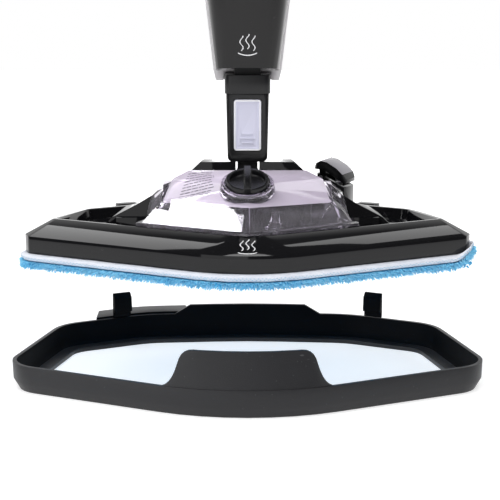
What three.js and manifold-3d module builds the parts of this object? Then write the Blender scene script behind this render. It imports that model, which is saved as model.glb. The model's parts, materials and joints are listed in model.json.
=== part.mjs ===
// Steam mop: a floor head with a clear dosing tank, held above its carpet glider.
// Millimetres, +Z up, +Y towards the back. The glider stands on the floor at z = 0.
import * as THREE from "three";
import { mergeVertices } from "three/addons/utils/BufferGeometryUtils.js";
import Module from "manifold-3d";

const wasm = await Module();
wasm.setup();

// ---- driving dimensions ----
const hover = 88; // pad underside above the floor while the head is held over the glider
const gap = 0.3; // clearance between neighbouring pieces

// Half outlines seen from above, front to back: [x, y, corner radius, steps in the corner].
const headCorners = [
  [0, -76.5, 80, 6],
  [152.5, -0.2, 3, 2],
  [156, 9, 3, 2],
  [133, 96, 22, 4],
  [77, 124.5, 60, 3],
  [0, 130.5, 300, 2],
];
const rimTopCorners = [
  [0, -55.8, 38, 6],
  [134.5, 11.5, 2.5, 2],
  [137, 15, 2.5, 2],
  [122, 86, 14, 4],
  [72, 112, 46, 3],
  [0, 117, 260, 2],
];
const gliderCorners = [
  [0, -93.7, 145, 8],
  [171.3, -11, 27, 6],
  [143.5, 102, 34, 6],
  [80, 134, 70, 4],
  [0, 141, 300, 2],
];

// Heights in the head's own frame, from the underside of the pad.
const pad = { overhang: 4, pileTop: 3.2, backingTop: 8.7 };
const plate = { bottom: 9.2, top: 12, inset: 2.9 };
const rim = { bottom: 9, ridge: 21, frontTop: 31, rearTop: 24.5, slopeStart: 12, slopeEnd: 84 };
const deck = { top: 17 };
const wall = 2.4;

const tilt = { y: 52, z: 52, pinRadius: 3, bossRadius: 7.2 }; // lean-back axle, along X
const swing = { z: 71, pinRadius: 2 }; // side-to-side axle, along Y
const neck = { y: 52, bottom: 67.4, top: 115.6, halfBottom: 14.2, halfTop: 15.2, halfDepth: 13, wall: 2.6 };
const button = { halfWidth: 9.6, bottom: 75.4, top: 111.6 };
const collar = { top: 129, halfWidth: 16.2, halfDepth: 14 };
const unit = { height: 380, wall: 2.2, split: 8 };
const pole = { radius: 12.5, bore: 11.3, bottom: 346, top: 860 };
const grip = { bottom: 836, top: 1052 };

const cap = { radius: 15.7, seat: new THREE.Vector3(0, 1, 54.6), lean: Math.atan(0.4) };
const filler = { outer: 20, bore: 13.4 };

const glider = { wallTop: 20, rearTop: 27, wall: 2.6, ledge: 3, tabTop: 46.5, catchZ: 24.6 };

// ---- materials ----
const plastic = (color, roughness) => new THREE.MeshStandardMaterial({ color, roughness, metalness: 0 });
const metal = (color, roughness) => new THREE.MeshStandardMaterial({ color, roughness, metalness: 1 });
function seeThrough(color, roughness, opacity) {
  return new THREE.MeshStandardMaterial({ color, roughness, opacity, transparent: true });
}
const material = {
  glossBlack: plastic(0x0b0b0d, 0.12),
  satinBlack: plastic(0x26272a, 0.55),
  innerBlack: plastic(0x1b1b1d, 0.6),
  buttonGrey: plastic(0xc9cad6, 0.45),
  smokeGrey: plastic(0x6e6f74, 0.2),
  clear: seeThrough(0xe9e6ee, 0.05, 0.35),
  smokeClear: seeThrough(0x4a4c55, 0.08, 0.5),
  padWhite: plastic(0xf1f3f6, 0.95),
  pileBlue: plastic(0x1fa5e0, 0.95),
  hookTape: plastic(0xd9d9dc, 0.9),
  rubber: plastic(0x17171a, 0.8),
  steel: metal(0xb7b9bd, 0.3),
  aluminium: metal(0xc4c6ca, 0.35),
};

// ---- solids and shapes ----
function solid(geometry) {
  const bare = new THREE.BufferGeometry();
  bare.setAttribute("position", geometry.getAttribute("position"));
  bare.setIndex(geometry.index);
  const merged = mergeVertices(bare, 1e-3);
  const vertProperties = merged.attributes.position.array;
  const triVerts = new Uint32Array(merged.index.array);
  return new wasm.Manifold(new wasm.Mesh({ numProp: 3, vertProperties, triVerts }));
}

function geometryOf(body) {
  const made = body.getMesh();
  const geometry = new THREE.BufferGeometry();
  geometry.setAttribute("position", new THREE.BufferAttribute(new Float32Array(made.vertProperties), 3));
  geometry.setIndex(new THREE.BufferAttribute(new Uint32Array(made.triVerts), 1));
  return geometry;
}

const join = (...bodies) => bodies.reduce((a, b) => a.add(b));
const cut = (body, ...tools) => tools.reduce((a, b) => a.subtract(b), body);
const mirrorX = (body) => body.mirror([1, 0, 0]);
const pair = (body) => body.add(mirrorX(body));

function box(x0, x1, y0, y1, z0, z1) {
  const geometry = new THREE.BoxGeometry(x1 - x0, y1 - y0, z1 - z0);
  geometry.translate((x0 + x1) / 2, (y0 + y1) / 2, (z0 + z1) / 2);
  return solid(geometry);
}

// A cylinder or cone between two points.
function rod(from, to, radius, endRadius = radius, sides = 24) {
  const along = to.clone().sub(from);
  const geometry = new THREE.CylinderGeometry(endRadius, radius, along.length(), sides);
  const up = new THREE.Vector3(0, 1, 0);
  const turn = new THREE.Quaternion().setFromUnitVectors(up, along.clone().normalize());
  geometry.applyQuaternion(turn);
  geometry.translate(...from.clone().addScaledVector(along, 0.5).toArray());
  return solid(geometry);
}

const at = (x, y, z) => new THREE.Vector3(x, y, z);
const upright = (x, y, z0, z1, radius, endRadius, sides) =>
  rod(at(x, y, z0), at(x, y, z1), radius, endRadius, sides);
const acrossX = (x0, x1, y, z, radius, sides) => rod(at(x0, y, z), at(x1, y, z), radius, radius, sides);
const alongY = (x, y0, y1, z, radius, sides) => rod(at(x, y0, z), at(x, y1, z), radius, radius, sides);

// Extrudes a shape or a list of points along an axis.
// Along z it is drawn in x, y; along y in x, z; along x in y, z.
function prism(outlineOrShape, axis, from, to, curveSegments = 5) {
  const shape = Array.isArray(outlineOrShape)
    ? new THREE.Shape(outlineOrShape.map(([a, b]) => new THREE.Vector2(a, b)))
    : outlineOrShape;
  const geometry = new THREE.ExtrudeGeometry(shape, { depth: to - from, bevelEnabled: false, curveSegments });
  if (axis === "z") geometry.translate(0, 0, from);
  if (axis === "y") geometry.rotateX(Math.PI / 2).translate(0, to, 0);
  if (axis === "x") {
    geometry.applyMatrix4(new THREE.Matrix4().makeBasis(at(0, 1, 0), at(0, 0, 1), at(1, 0, 0)));
    geometry.translate(from, 0, 0);
  }
  return solid(geometry);
}

function roundedRect(halfWidth, low, high, radius) {
  const shape = new THREE.Shape();
  shape.moveTo(halfWidth, low + radius);
  shape.lineTo(halfWidth, high - radius);
  shape.absarc(halfWidth - radius, high - radius, radius, 0, Math.PI / 2, false);
  shape.absarc(-halfWidth + radius, high - radius, radius, Math.PI / 2, Math.PI, false);
  shape.absarc(-halfWidth + radius, low + radius, radius, Math.PI, 1.5 * Math.PI, false);
  shape.absarc(halfWidth - radius, low + radius, radius, 1.5 * Math.PI, 2 * Math.PI, false);
  return shape;
}

function wholeOutline(half) {
  const middle = half.slice(1).filter(([x]) => x !== 0);
  return [...half, ...middle.reverse().map(([x, ...rest]) => [-x, ...rest])];
}

// Points of an outline with rounded corners, moved inwards by inset.
function outline(half, inset = 0) {
  const corners = wholeOutline(half);
  const count = corners.length;
  const direction = corners.map(([x, y], i) => {
    const [nextX, nextY] = corners[(i + 1) % count];
    return new THREE.Vector2(nextX - x, nextY - y).normalize();
  });
  return corners.flatMap(([x, y, radius, steps], i) => {
    const before = direction[(i + count - 1) % count];
    const after = direction[i];
    const turn = Math.atan2(before.cross(after), before.dot(after));
    const side = Math.sign(turn) || 1;
    const inward = new THREE.Vector2(-(before.y + after.y), before.x + after.x).normalize();
    const middle = new THREE.Vector2(x, y).addScaledVector(inward, inset / Math.cos(turn / 2));
    const round = Math.max(radius - side * inset, 0.6);
    const centre = middle.clone().addScaledVector(inward, (side * round) / Math.cos(turn / 2));
    // The outward normal of an edge lies a quarter turn clockwise from its direction.
    const first = Math.atan2(-before.x, before.y);
    return Array.from({ length: steps + 1 }, (_, k) => {
      const angle = first + (turn * k) / steps;
      const reach = side * round;
      return new THREE.Vector2(centre.x + reach * Math.cos(angle), centre.y + reach * Math.sin(angle));
    });
  });
}

// A ring of points at a height, which may be a number or a function of y.
const ring = (points, height) =>
  points.map((p) => at(p.x, p.y, typeof height === "function" ? height(p.y) : height));

// A closed solid through rings of equal length, bottom to top. An apex closes the top with a fan.
function loft(rings, apex) {
  const count = rings[0].length;
  const points = rings.flat();
  const index = [];
  for (let level = 0; level < rings.length - 1; level++) {
    for (let i = 0; i < count; i++) {
      const [a, b] = [level * count + i, level * count + ((i + 1) % count)];
      index.push(a, b, b + count, a, b + count, a + count);
    }
  }
  const flat = (level) => rings[level].map((p) => new THREE.Vector2(p.x, p.y));
  THREE.ShapeUtils.triangulateShape(flat(0), []).forEach(([a, b, c]) => index.push(a, c, b));
  const top = (rings.length - 1) * count;
  if (apex) {
    points.push(apex);
    for (let i = 0; i < count; i++) index.push(top + i, top + ((i + 1) % count), points.length - 1);
  } else {
    THREE.ShapeUtils.triangulateShape(flat(rings.length - 1), []).forEach(([a, b, c]) =>
      index.push(top + a, top + b, top + c),
    );
  }
  const geometry = new THREE.BufferGeometry().setFromPoints(points);
  geometry.setIndex(index);
  return solid(geometry);
}

const slab = (half, inset, z0, z1) => loft([ring(outline(half, inset), z0), ring(outline(half, inset), z1)]);

// A coil spring of square wire, standing on the origin along +Z.
function coil(radius, wire, height, turns) {
  class Helix extends THREE.Curve {
    getPoint(t, target = new THREE.Vector3()) {
      const angle = 2 * Math.PI * turns * t;
      return target.set(radius * Math.cos(angle), radius * Math.sin(angle), wire + (height - 2 * wire) * t);
    }
  }
  const section = new THREE.Shape([
    new THREE.Vector2(-wire / 2, -wire / 2),
    new THREE.Vector2(wire / 2, -wire / 2),
    new THREE.Vector2(wire / 2, wire / 2),
    new THREE.Vector2(-wire / 2, wire / 2),
  ]);
  const options = { extrudePath: new Helix(), steps: turns * 8, bevelEnabled: false };
  return new THREE.ExtrudeGeometry(section, options);
}

// A round bar or hose along a curve through points.
function bentRod(points, radius, steps, sides = 8) {
  const section = new THREE.Shape();
  section.absarc(0, 0, radius, 0, 2 * Math.PI, false);
  const extrudePath = new THREE.CatmullRomCurve3(points.map(([x, y, z]) => at(x, y, z)));
  return solid(
    new THREE.ExtrudeGeometry(section, { extrudePath, steps, bevelEnabled: false, curveSegments: sides }),
  );
}

function piece(name, shape, finish) {
  const geometry = shape.isBufferGeometry ? shape : geometryOf(shape);
  const mesh = new THREE.Mesh(geometry, finish);
  mesh.name = name;
  return mesh;
}

function groupOf(position, ...members) {
  const group = new THREE.Group();
  group.position.copy(position);
  group.add(...members);
  return group;
}

// ---- carpet glider ----
function gliderFrame() {
  const level = (inset, z) => ring(outline(gliderCorners, inset), z);
  const outside = loft([level(5, 0), level(0.8, 7.5), level(0, glider.rearTop)]);
  const inside = loft([level(5.6, glider.ledge), level(0.8 + glider.wall, 8.5), level(glider.wall, 60)]);
  const middleHole = slab(gliderCorners, 15, -1, 10);
  const above = (profile, y0, y1) => prism(profile, "y", y0, y1);
  const frontCut = box(-200, 200, -120, 100, glider.wallTop, 60);
  const rearStep = above(
    [[-200, 60], [-200, glider.wallTop], [-57, glider.wallTop], [-45, glider.rearTop], [-45, 60]],
    90,
    200,
  );
  const shell = cut(outside, inside, middleHole, frontCut, pair(rearStep));
  const tabFace = new THREE.Shape();
  tabFace.moveTo(-57, glider.wallTop - 6);
  tabFace.lineTo(57, glider.wallTop - 6);
  tabFace.lineTo(57, glider.wallTop);
  tabFace.quadraticCurveTo(51, glider.wallTop + 2, 47, 36);
  tabFace.quadraticCurveTo(44.5, glider.tabTop, 36, glider.tabTop);
  tabFace.lineTo(-36, glider.tabTop);
  tabFace.quadraticCurveTo(-44.5, glider.tabTop, -47, 36);
  tabFace.quadraticCurveTo(-51, glider.wallTop + 2, -57, glider.wallTop);
  const tabWall = cut(slab(gliderCorners, 1.1, 10, 50), slab(gliderCorners, 3.4, 9, 51));
  const toeTab = prism(tabFace, "y", -120, -30).intersect(tabWall);
  return join(shell, toeTab, stepPlate());
}

// The foot plate behind the left of the glider, with its ribs.
function stepPlate() {
  const rise = 21.4;
  const lipRoom = slab(gliderCorners, -gap, 20, 23);
  const strip = cut(slab(gliderCorners, -20, 18.8, rise), slab(gliderCorners, 1, 18, 20), lipRoom);
  const corners = [[-117, 112], [-106, 110], [-52, 128], [-46, 138], [-52, 170], [-117, 156]];
  const area = prism(corners, "z", 18, 23);
  const rib = prism([[0, 6], [0, 19.2], [17, 19.2], [4, 8]], "x", -1, 1);
  const ribs = [-106, -84, -64].map((x, i) =>
    rib.rotate([0, 0, [30, 24, 12][i]]).translate([x, [115.4, 125.8, 131.6][i], 0]),
  );
  return cut(join(strip.intersect(area), ...ribs), slab(gliderCorners, 1.2, -1, 60));
}

// A snap hook that stands up from the rear wall and reaches inwards.
function gliderClip(side) {
  const profile = [
    [0.3, glider.wallTop + gap],
    [0.3, 39.5],
    [2.2, 39.5],
    [5, 36],
    [5.8, glider.catchZ + 2],
    [5.4, glider.catchZ],
    [2.9, glider.catchZ],
    [2.9, glider.wallTop + gap],
  ].map(([inward, z]) => [-inward, z]);
  const hook = prism(profile, "x", -7.2, 7.2).rotate([0, 0, -side * 26.8]).translate([side * 98.5, 124.7, 0]);
  return hook;
}

function gliderGroup() {
  return groupOf(
    at(0, 0, 0),
    piece("glider_frame", gliderFrame(), material.satinBlack),
    piece("glider_clip_left", gliderClip(-1), material.satinBlack),
    piece("glider_clip_right", gliderClip(1), material.satinBlack),
  );
}

// ---- floor head ----
const rimTop = (drop) => (y) => {
  const share = THREE.MathUtils.clamp((y - rim.slopeStart) / (rim.slopeEnd - rim.slopeStart), 0, 1);
  return THREE.MathUtils.lerp(rim.frontTop, rim.rearTop, share) - drop;
};

// Half sections of the hump, at its front wall, above the rear rim and at its back: [y, [x, z] ...].
const humpSections = [
  [27, [[33.5, 69], [40.5, 62.3], [52, 54.5], [64, 47.5], [78, 39], [96, 29.5], [104, 22], [104, 10]]],
  [100, [[31, 61.5], [37, 55.5], [47, 44], [57, 35.5], [71, 29], [91, 24.5], [98, 20], [98, 10]]],
  [121, [[29, 27], [35, 26.5], [45, 26], [54, 25], [68, 24], [84, 22], [90, 18], [90, 10]]],
];

function hump(t) {
  const rings = humpSections.map(([y, half], i) => {
    const depth = y + (i === 0 ? t : i === humpSections.length - 1 ? -t : 0);
    const right = half.map(([x, z]) => [x - t, z === 10 ? z : z - t]);
    const whole = [...right.map(([x, z]) => [-x, z]).reverse(), ...right].reverse();
    return whole.map(([x, z]) => at(x, z, -depth));
  });
  return loft(rings.reverse()).rotate([90, 0, 0]);
}

// The room in the top of the hump for the knuckle and for the neck as it leans back.
function humpCuts(t) {
  const saddle = box(-24 - t, 24 + t, 36.5 - t, 72, 59.5 - t, 80);
  const valley = prism(
    [[-18 - t, 60 - t], [18 + t, 60 - t], [42 + t, 104], [50 + t, 132], [-50 - t, 132], [-42 - t, 104]],
    "z",
    36 - t,
    80,
  );
  const rearSlope = prism([[90 - t, 90], [90 - t, 38 - t], [140, 10 - t], [140, 90]], "x", -50 - t, 50 + t);
  const slot = box(-8.4 - t, 8.4 + t, 26 - t, 76, 41.5 - t, 80);
  return join(saddle, valley, rearSlope, slot);
}

function pedalTower() {
  const face = [[-14, 18], [8, 18], [8, 39.5], [-14, 49.5]];
  return prism(face, "y", -9, 9).rotate([0, 0, -26.6]).translate([69, 102, 0]);
}

function headHousing() {
  const level = (half, inset, z) => ring(outline(half, inset), z);
  const outside = loft([
    level(headCorners, 0, rim.bottom),
    level(headCorners, 0, rim.ridge),
    level(rimTopCorners, 0, rimTop(0)),
  ]);
  const inside = loft([
    level(headCorners, wall, rim.bottom - 1),
    level(headCorners, wall, rim.ridge - 1.4),
    level(rimTopCorners, wall, rimTop(wall + 0.6)),
  ]);
  const pocket = (t) =>
    loft([level(rimTopCorners, 4.4 - t, deck.top - t), level(rimTopCorners, 1.2 - t, 44)]);
  const lugs = pair(
    box(-7.6, 7.6, -4.4, 3.1, rim.bottom + 1, 24).rotate([0, 0, -26.8]).translate([92.5, 114.5, 0]),
  );
  const ledges = pair(box(70, 93, 22, 28, deck.top - 1, 30));
  const shell = join(cut(outside, pocket(0)), cut(hump(0), humpCuts(0)), pedalTower(), lugs, ledges);
  const pedalRoom = box(-11.6, 5.6, -6.6, 6.6, 12, 35).rotate([0, 0, -26.6]).translate([69, 102, 0]);
  const hollowRim = cut(inside, pocket(wall - 0.2));
  const hollowHump = cut(hump(wall), humpCuts(wall), box(-200, 200, -80, 200, -5, rim.bottom - 1));
  const bosses = screwPlaces.map(([x, y]) => upright(x, y, plate.top + gap, 60, 4.2, 4.2, 12));
  const hollow = cut(join(hollowRim, hollowHump, pedalRoom), ...bosses, pair(earBoss()));
  const screwHoles = screwPlaces.map(([x, y]) => upright(x, y, 8, 20.5, 1.8, 1.8, 10));
  const dockHole = upright(dock.x, dock.y, 10, 20, dock.radius + gap, dock.radius + gap, 20);
  const axleHole = acrossX(-40, 40, tilt.y, tilt.z, tilt.pinRadius + 0.05, 24);
  return cut(cut(shell, hollow), ...screwHoles, dockHole, axleHole, pedalPinHole(), pedalSlot());
}

const earBoss = () => acrossX(8.4, 19, tilt.y, tilt.z, tilt.bossRadius, 20);
const screwPlaces = [[-131, 26], [131, 26], [-88, 96], [88, 88]];
const dock = { x: 19.3, y: -12, radius: 7 };

// ---- foot pedal, drawn about its tower's centre and turned with it ----
const pedal = { x: 69, y: 102, turn: -26.6, pinX: -11.2, pinZ: 50.5, slope: 22.3 };
const onPedal = (body) => body.rotate([0, 0, pedal.turn]).translate([pedal.x, pedal.y, 0]);
const pedalPinHole = () => onPedal(alongY(pedal.pinX, -12, 12, pedal.pinZ - 4.2, 1.6, 12));
const pedalSlot = () => onPedal(box(-16, 6, -6.2, 6.2, 37.5, 60));

function pedalPlate() {
  const side = [
    [-17, 52.4], [-14.8, 56.8], [-11, 58.9], [-6, 58.2], [2, 54], [7, 49.6], [9.6, 45.4], [9.6, 43.4],
    [8.4, 42.4], [4, 45], [-8, 52.2], [-9, 43.6], [-13.4, 43.6], [-13.8, 51.6],
  ];
  const plan = roundedRect(10.2, -17.5, 10, 5);
  const slabOf = prism(side, "y", -10.2, 10.2);
  const rounded = prism(plan, "z", 30, 70).rotate([0, 0, -90]);
  const arm = box(-20, -7.9, -20, -5.8, 30, 52.4).add(box(-20, -7.9, 5.8, 20, 30, 52.4));
  const pinHole = alongY(pedal.pinX, -12, 12, pedal.pinZ - 4.2, 1.65, 12);
  return onPedal(cut(slabOf.intersect(rounded), arm, pinHole));
}

function pedalSpring() {
  const spring = solid(coil(2.6, 0.8, 7.6, 4)).translate([0, 0, 37.9]);
  return onPedal(spring);
}

function basePlate() {
  const blank = slab(headCorners, plate.inset, plate.bottom, plate.top);
  const tapeRooms = tapes.map((t) => tapeBox(t, gap, 8, 10.7));
  const outlets = Array.from({ length: 6 }, (_, i) => box(-52 + i * 18, -40 + i * 18, 42, 45, 8, 14));
  const heads = screwPlaces.map(([x, y]) => upright(x, y, 8, 10.9, 3.6, 3.6, 14));
  const shanks = screwPlaces.map(([x, y]) => upright(x, y, 8, 14, 1.9, 1.9, 10));
  return cut(blank, ...tapeRooms, ...outlets, ...heads, ...shanks);
}

const tapes = [
  { name: "hook_tape_left", x: -106, half: 16, y0: -8, y1: 72 },
  { name: "hook_tape_right", x: 106, half: 16, y0: -8, y1: 72 },
  { name: "hook_tape_front", x: 0, half: 34, y0: -42, y1: -18 },
];

const tapeBox = (t, room, z0, z1) =>
  box(t.x - t.half - room, t.x + t.half + room, t.y0 - room, t.y1 + room, z0, z1);

const screw = (x, y) =>
  join(upright(x, y, 9.3, 10.6, 3.2, 3.2, 14), upright(x, y, 10.5, 19.5, 1.5, 1.5, 10));

function steamBar() {
  const chamber = cut(box(-58, 58, 38, 49, 12.3, 20), box(-56, 56, 40, 47, 12, 18));
  const spigot = upright(34, 43.5, 19.5, 28, 3.4, 3, 14);
  return cut(join(chamber, spigot), upright(34, 43.5, 15, 30, 1.8, 1.8, 10));
}

function headHose() {
  const route = [[34, 43.5, 24.4], [34, 43.5, 31], [29, 41, 38], [20, 40, 42], [11.4, 40, 43]];
  return cut(bentRod(route, 4.2, 12, 5), upright(34, 43.5, 20, 28.4, 3.7, 3.3, 14));
}

function headGroup() {
  const tilted = piece("tilt_axle", acrossX(-18, 18, tilt.y, tilt.z, tilt.pinRadius, 24), material.steel);
  const backing = slab(headCorners, -pad.overhang, pad.pileTop + gap, pad.backingTop);
  const pile = slab(headCorners, -pad.overhang + 0.8, 0, pad.pileTop);
  const seal = cut(
    upright(dock.x, dock.y, 14, 17, dock.radius, dock.radius, 20),
    upright(dock.x, dock.y, 12, 20, 4, 4, 16),
  );
  const pin = onPedal(alongY(pedal.pinX, -8.8, 8.8, pedal.pinZ - 4.2, 1.55, 12));
  return groupOf(
    at(0, 0, hover),
    piece("head_housing", headHousing(), material.glossBlack),
    piece("base_plate", basePlate(), material.innerBlack),
    piece("pad_backing", backing, material.padWhite),
    piece("pad_pile", pile, material.pileBlue),
    ...tapes.map((t) => piece(t.name, tapeBox(t, 0, 9.1, 10.4), material.hookTape)),
    ...screwPlaces.map(([x, y], i) => piece(`base_screw_${i + 1}`, screw(x, y), material.steel)),
    piece("steam_bar", steamBar(), material.innerBlack),
    piece("head_hose", headHose(), material.rubber),
    piece("tank_dock_seal", seal, material.rubber),
    tilted,
    piece("pedal_pin", pin, material.steel),
    piece("pedal_spring", pedalSpring(), material.steel),
    piece("pedal_plate", pedalPlate(), material.smokeGrey),
  );
}

// ---- clear tank ----
const tankFoot = [[0, -46, 8, 3], [70, -11, 3, 2], [64.5, 8, 3, 2], [64.5, 23.6, 3, 2]];
const tankShoulder = [[0, -51.6, 12, 3], [75, -14, 3, 2], [66, 6, 3, 2], [62, 23.6, 3, 2]];
const tankRoof = [[0, -23, 6, 3], [60, 5, 3, 2], [53, 19, 3, 2], [41, 23.6, 3, 2]];
const tankLip = [[0, -53.2, 12, 3], [77.4, -14.4, 2, 2], [69.5, 6, 2, 2], [69.5, 23.6, 2, 2]];
// The roof's front edge lies in the plane of the front facets; its rear corners drop a little.
const roofHeight = (point, drop) => {
  const side = Math.abs(point.x);
  if (point.y < 12) return 55.45 + 0.4545 * point.y - 0.2276 * side - drop;
  const dip = 10.4 * THREE.MathUtils.clamp((side - 6) / 54, 0, 1);
  return 45 + 0.4 * (point.y + 23) - dip * THREE.MathUtils.clamp((23.6 - point.y) / 11.6, 0, 1) - drop;
};

function tankBody(t, floor) {
  const foot = outline(tankFoot, t);
  const roof = outline(tankRoof, t).map((p) => at(p.x, p.y, roofHeight(p, t)));
  const lower = loft([ring(foot, floor), ring(foot, 34)]);
  const upper = loft([ring(outline(tankShoulder, t), 32 + t * 0.5), roof], at(0, 4, 45 + 0.4 * 27 - t));
  const wingFace = [
    [40, 20], [69.8 - t, 20], [69.8 - t, 37], [69.2 - t, 41],
    [66.6 - t, 48.5 - t], [58.7 - t, 56 - t], [40, 57.5 - t],
  ];
  const wing = prism(wingFace, "y", 6 + t, 23.6 - t);
  const overRoof = slab(tankRoof, -t, 30, 80);
  return join(lower, upper, cut(pair(wing), overRoof));
}

const capAxis = at(0, -Math.sin(cap.lean), Math.cos(cap.lean));
const onCapAxis = (height) => cap.seat.clone().addScaledVector(capAxis, height);
const capRod = (from, to, radius, endRadius, sides = 24) =>
  rod(onCapAxis(from), onCapAxis(to), radius, endRadius, sides);

function tankShell() {
  const lipLevels = [[0, gap], [0.4, 2.2]];
  const lip = loft(lipLevels.map(([inset, rise]) => ring(outline(tankLip, inset), rim.frontTop + rise)));
  const body = tankBody(0, 22.3).add(lip);
  const hollow = cut(tankBody(2, 20), box(-200, 200, -200, 200, 0, 22));
  const bottomOpen = slab(tankFoot, 2, 20, 30);
  return cut(body, hollow, bottomOpen, capRod(-9, 20, filler.outer - 3.4, filler.outer - 3.4), wingFloor());
}

// The wings end in a flat underside level with the tank's joint.
const wingFloor = () => box(-200, 200, -200, 200, 0, 22.3);

function tankBase() {
  const tray = slab(tankFoot, 0, deck.top + gap, 20);
  const upstand = cut(slab(tankFoot, 2.4, 19, 24), slab(tankFoot, 4.2, 18, 25));
  const valveHole = upright(dock.x, dock.y, 10, 24, 3.7, 3.7, 16);
  const seam = slab(tankFoot, 0, 19.5, 22);
  return cut(join(tray, upstand, cut(seam, slab(tankFoot, 4.2, 18, 25))), valveHole);
}

function fillerCollar() {
  const flare = capRod(-1.5, 4.6, filler.outer - 0.6, filler.outer - 1.8);
  const outside = join(flare, capRod(-8, 0, filler.outer - 3.8));
  const seat = capRod(1.6, 20, cap.radius + 0.35, cap.radius + 0.35);
  const roof = tankBody(-gap, 20);
  const flange = cut(outside, roof).add(capRod(-8, 1.6, filler.outer - 3.8));
  return cut(flange, seat, capRod(-12, 12, filler.bore));
}

function fillerCap() {
  const disc = capRod(1.9, 7.4, cap.radius, cap.radius - 0.7);
  const dish = cut(capRod(4.2, 12, 12.2, 13.6), barBox(3.4, 20));
  const plug = capRod(-6.5, 2, 11.4, 11.4);
  const groove = cut(capRod(-4.6, -1.4, 15), capRod(-5, 0, 9.9));
  return cut(join(disc, plug, barBox(4, 9.4)), dish, groove, capRod(-8, 0, 8.6));
}

// The finger bar across the cap, from one height above the seat to another.
function barBox(low, high) {
  const bar = box(-2.3, 2.3, -15, 15, low, high);
  return bar.rotate([(cap.lean * 180) / Math.PI, 0, 0]).translate(cap.seat.toArray());
}

function capGasket() {
  return cut(capRod(-4.3, -1.7, 13.1, 13.1), capRod(-5, 0, 10.2));
}

function outletValve() {
  const body = join(
    upright(dock.x, dock.y, 20.3, 30.5, 7.8, 6.6, 18),
    upright(dock.x, dock.y, 30, 40.6, 4.5, 4.5, 18),
    upright(dock.x, dock.y, 15.4, 21, 3.4, 3.4, 14),
  );
  return cut(body, upright(dock.x, dock.y, 14, 24, 1.6, 1.6, 10), upright(dock.x, dock.y, 33, 42, 3, 3, 14));
}

function airValve() {
  const [x, y] = [41, 3];
  return join(upright(x, y, 20.3, 32, 5.6, 5, 14), upright(x, y, 31, 42.6, 4.6, 4.2, 6));
}

function tankGroup() {
  return groupOf(
    at(0, 0, hover),
    piece("tank_shell", tankShell(), material.clear),
    piece("tank_base", tankBase(), material.clear),
    piece("filler_collar", fillerCollar(), material.clear),
    piece("outlet_valve", outletValve(), material.clear),
    piece("air_valve", airValve(), material.clear),
    piece("cap_gasket", capGasket(), material.rubber),
    piece("filler_cap", fillerCap(), material.satinBlack),
  );
}

// ---- knuckle and neck ----
function tiltKnuckle() {
  const boss = acrossX(-7.8, 7.8, tilt.y, tilt.z, 8.4, 24);
  const stem = box(-7.2, 7.2, tilt.y - 5.4, tilt.y + 5.8, tilt.z, swing.z);
  const eye = alongY(0, tilt.y - 5.4, tilt.y + 5.8, swing.z, 7.2, 20);
  const tiltHole = acrossX(-10, 10, tilt.y, tilt.z, tilt.pinRadius + 0.05, 24);
  const swingHole = alongY(0, 30, 70, swing.z, swing.pinRadius + 0.05, 16);
  const crown = box(-9, 9, 40, 65, swing.z + 5.6, 90);
  return cut(join(boss, stem, eye), tiltHole, swingHole, crown);
}

// The neck's outside, tapered, drawn as a solid with rounded lower corners.
function neckBody(t) {
  const face = new THREE.Shape();
  const { bottom, top, halfBottom, halfTop } = neck;
  const round = 4;
  face.moveTo(halfTop - t, top - t);
  face.lineTo(-halfTop + t, top - t);
  face.lineTo(-halfBottom + t, bottom + round);
  face.quadraticCurveTo(-halfBottom + t, bottom + t, -halfBottom + round, bottom + t);
  face.lineTo(halfBottom - round, bottom + t);
  face.quadraticCurveTo(halfBottom - t, bottom + t, halfBottom - t, bottom + round);
  const plan = roundedRect(halfTop - t, -neck.halfDepth + t, neck.halfDepth - t, 3.4);
  const column = prism(plan, "z", bottom, top).translate([0, neck.y, 0]);
  return prism(face, "y", neck.y - neck.halfDepth, neck.y + neck.halfDepth).intersect(column);
}

function neckShells() {
  const room = box(-11.4, 11.4, neck.y - 8.6, neck.y + 9.4, neck.bottom - 5, neck.top + 5);
  const frontRoom = box(-11.4, 11.4, neck.y - neck.halfDepth + neck.wall, neck.y, 73.2, neck.top + 5);
  const windowShape = roundedRect(button.halfWidth + gap, button.bottom - gap, button.top + gap, 2.3);
  const window = prism(windowShape, "y", 30, 52);
  const frameShape = roundedRect(12.6, button.bottom - 3.4, 114.4, 4);
  const frame = prism(frameShape, "y", 30, neck.y - neck.halfDepth + 0.9);
  const pinHole = alongY(0, neck.y - 11.2, neck.y + 11.6, swing.z, swing.pinRadius + 0.05, 16);
  const whole = cut(neckBody(0), room, frontRoom, window, frame, pinHole);
  const half = gap / 2;
  return [
    whole.intersect(box(-30, 30, 0, neck.y - half, 0, 200)),
    whole.intersect(box(-30, 30, neck.y + half, 100, 0, 200)),
  ];
}

function neckCollar() {
  const ringOf = (half, depth, z0, z1, radius) =>
    prism(roundedRect(half, -depth, depth, radius), "z", z0, z1).translate([0, neck.y, 0]);
  const outside = join(
    ringOf(collar.halfWidth, collar.halfDepth, neck.top + gap, collar.top, 4.5),
    cut(
      ringOf(10.9, 8.2, neck.top - 5, neck.top + 1, 2).translate([0, 0.4, 0]),
      box(-30, 30, 0, 46.2, 90, 200),
    ),
  );
  return cut(outside, ringOf(9.7, 7, 100, 140, 2).translate([0, 0.4, 0]));
}

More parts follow.
